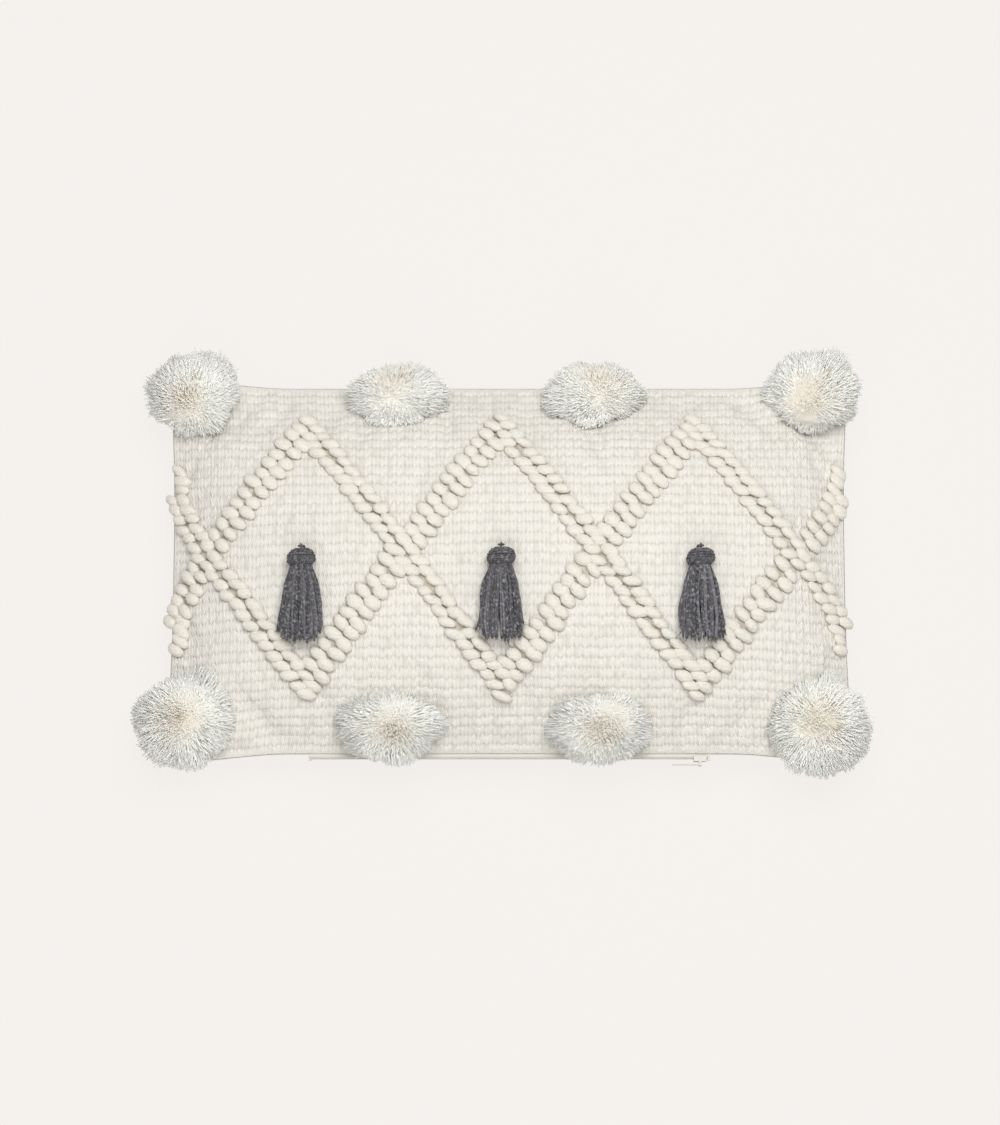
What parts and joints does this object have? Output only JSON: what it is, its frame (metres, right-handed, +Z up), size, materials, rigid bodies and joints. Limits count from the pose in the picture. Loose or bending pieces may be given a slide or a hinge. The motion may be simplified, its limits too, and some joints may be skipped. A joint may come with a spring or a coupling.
{
  "type": "throw pillow",
  "caption": "Rectangular throw pillow: woven face with raised loop ridges in diamonds, cut-yarn pompoms along the long seams, hanging tassels, and a zipped cover over a filled insert.",
  "frame": {"origin": "middle of the flat patch that the pillow rests on, on its back", "axes": "+X along the length, +Y from the zipped bottom seam towards the top seam, +Z up out of the face"},
  "size_m": [0.6358, 0.371, 0.1397],
  "materials": {
    "woven_face": "thick hand-woven cotton, matt",
    "back_cloth": "plain-weave cotton canvas, matt",
    "sewing_thread": "spun thread, matt",
    "zip_tape": "narrow woven tape, matt",
    "zip_teeth": "moulded coil, semi-matt",
    "zip_metal": "ivory lacquer, semi-matt",
    "casing_cloth": "smooth cotton lining, matt",
    "fibre_fill": "lofted fibre, matt",
    "pile_yarn": "thick soft-spun cotton yarn, matt",
    "pompom_yarn": "cut and frayed yarn, matt",
    "pompom_tie": "twisted twine, matt",
    "tassel_yarn": "dark flecked plied yarn, matt"
  },
  "bodies": {
    "cover": {"front_panel": "woven_face", "back_panel": "back_cloth", "cover_seam_thread": "sewing_thread", "zip_tape_front": "zip_tape", "zip_tape_back": "zip_tape", "zip_coil_front": "zip_teeth", "zip_coil_back": "zip_teeth", "zip_closed_stop": "zip_metal", "zip_open_stop": "zip_metal", "insert_casing_front": "casing_cloth", "insert_casing_back": "casing_cloth", "insert_seam_thread": "sewing_thread", "fibre_fill": "fibre_fill", "loop_ridge_upper_1": "pile_yarn", "loop_ridge_upper_2": "pile_yarn", "loop_ridge_upper_3": "pile_yarn", "loop_ridge_upper_4": "pile_yarn", "loop_ridge_upper_5": "pile_yarn", "loop_ridge_upper_6": "pile_yarn", "loop_ridge_lower_1": "pile_yarn", "loop_ridge_lower_2": "pile_yarn", "loop_ridge_lower_3": "pile_yarn", "loop_ridge_lower_4": "pile_yarn", "loop_ridge_lower_5": "pile_yarn", "loop_ridge_lower_6": "pile_yarn", "loop_ridge_upper_left": "pile_yarn", "loop_ridge_upper_right": "pile_yarn", "loop_ridge_lower_left": "pile_yarn", "loop_ridge_lower_right": "pile_yarn", "pompom_top_1": "pompom_yarn", "pompom_top_2": "pompom_yarn", "pompom_top_3": "pompom_yarn", "pompom_top_4": "pompom_yarn", "pompom_bottom_1": "pompom_yarn", "pompom_bottom_2": "pompom_yarn", "pompom_bottom_3": "pompom_yarn", "pompom_bottom_4": "pompom_yarn", "pompom_tie_top_1": "pompom_tie", "pompom_tie_top_2": "pompom_tie", "pompom_tie_top_3": "pompom_tie", "pompom_tie_top_4": "pompom_tie", "pompom_tie_bottom_1": "pompom_tie", "pompom_tie_bottom_2": "pompom_tie", "pompom_tie_bottom_3": "pompom_tie", "pompom_tie_bottom_4": "pompom_tie"},
    "slider": {"zip_slider": "zip_metal"},
    "pull": {"zip_pull": "zip_metal"},
    "cord_1": {"tassel_cord_1": "tassel_yarn"},
    "tassel_1": {"tassel_head_1": "tassel_yarn", "tassel_wrap_1": "tassel_yarn", "tassel_skirt_1": "tassel_yarn"},
    "cord_2": {"tassel_cord_2": "tassel_yarn"},
    "tassel_2": {"tassel_head_2": "tassel_yarn", "tassel_wrap_2": "tassel_yarn", "tassel_skirt_2": "tassel_yarn"},
    "cord_3": {"tassel_cord_3": "tassel_yarn"},
    "tassel_3": {"tassel_head_3": "tassel_yarn", "tassel_wrap_3": "tassel_yarn", "tassel_skirt_3": "tassel_yarn"}
  },
  "joints": [
    {"name": "zip_slide", "type": "slide", "parent": "cover", "child": "slider", "axis": [-1, 0, 0], "range_m": [0, 0.3324]},
    {"name": "zip_pull_turn", "type": "hinge", "parent": "slider", "child": "pull", "pos_m": [0.1662, -0.1717, 0.052], "axis": [0, 0, 1], "range_deg": [0, 180]},
    {"name": "tassel_1_swing", "type": "hinge", "parent": "cover", "child": "cord_1", "pos_m": [-0.17712, 0.01073, 0.10814], "axis": [-0.1644, -0.1154, 0.9796], "range_deg": [-45, 45]},
    {"name": "tassel_1_lift", "type": "hinge", "parent": "cord_1", "child": "tassel_1", "pos_m": [-0.1793, 0.00919, 0.12117], "axis": [-0.9862, 0, -0.1655], "range_deg": [0, 150]},
    {"name": "tassel_2_swing", "type": "hinge", "parent": "cover", "child": "cord_2", "pos_m": [-0.007, 0.01063, 0.11637], "axis": [0, -0.1343, 0.9909], "range_deg": [-45, 45]},
    {"name": "tassel_2_lift", "type": "hinge", "parent": "cord_2", "child": "tassel_2", "pos_m": [-0.007, 0.00884, 0.12955], "axis": [-1, 0, 0], "range_deg": [0, 150]},
    {"name": "tassel_3_swing", "type": "hinge", "parent": "cover", "child": "cord_3", "pos_m": [0.16298, 0.0107, 0.11047], "axis": [0.1288, -0.1208, 0.9843], "range_deg": [-45, 45]},
    {"name": "tassel_3_lift", "type": "hinge", "parent": "cord_3", "child": "tassel_3", "pos_m": [0.16469, 0.00909, 0.12356], "axis": [-0.9915, 0, 0.1298], "range_deg": [0, 150]}
  ]
}
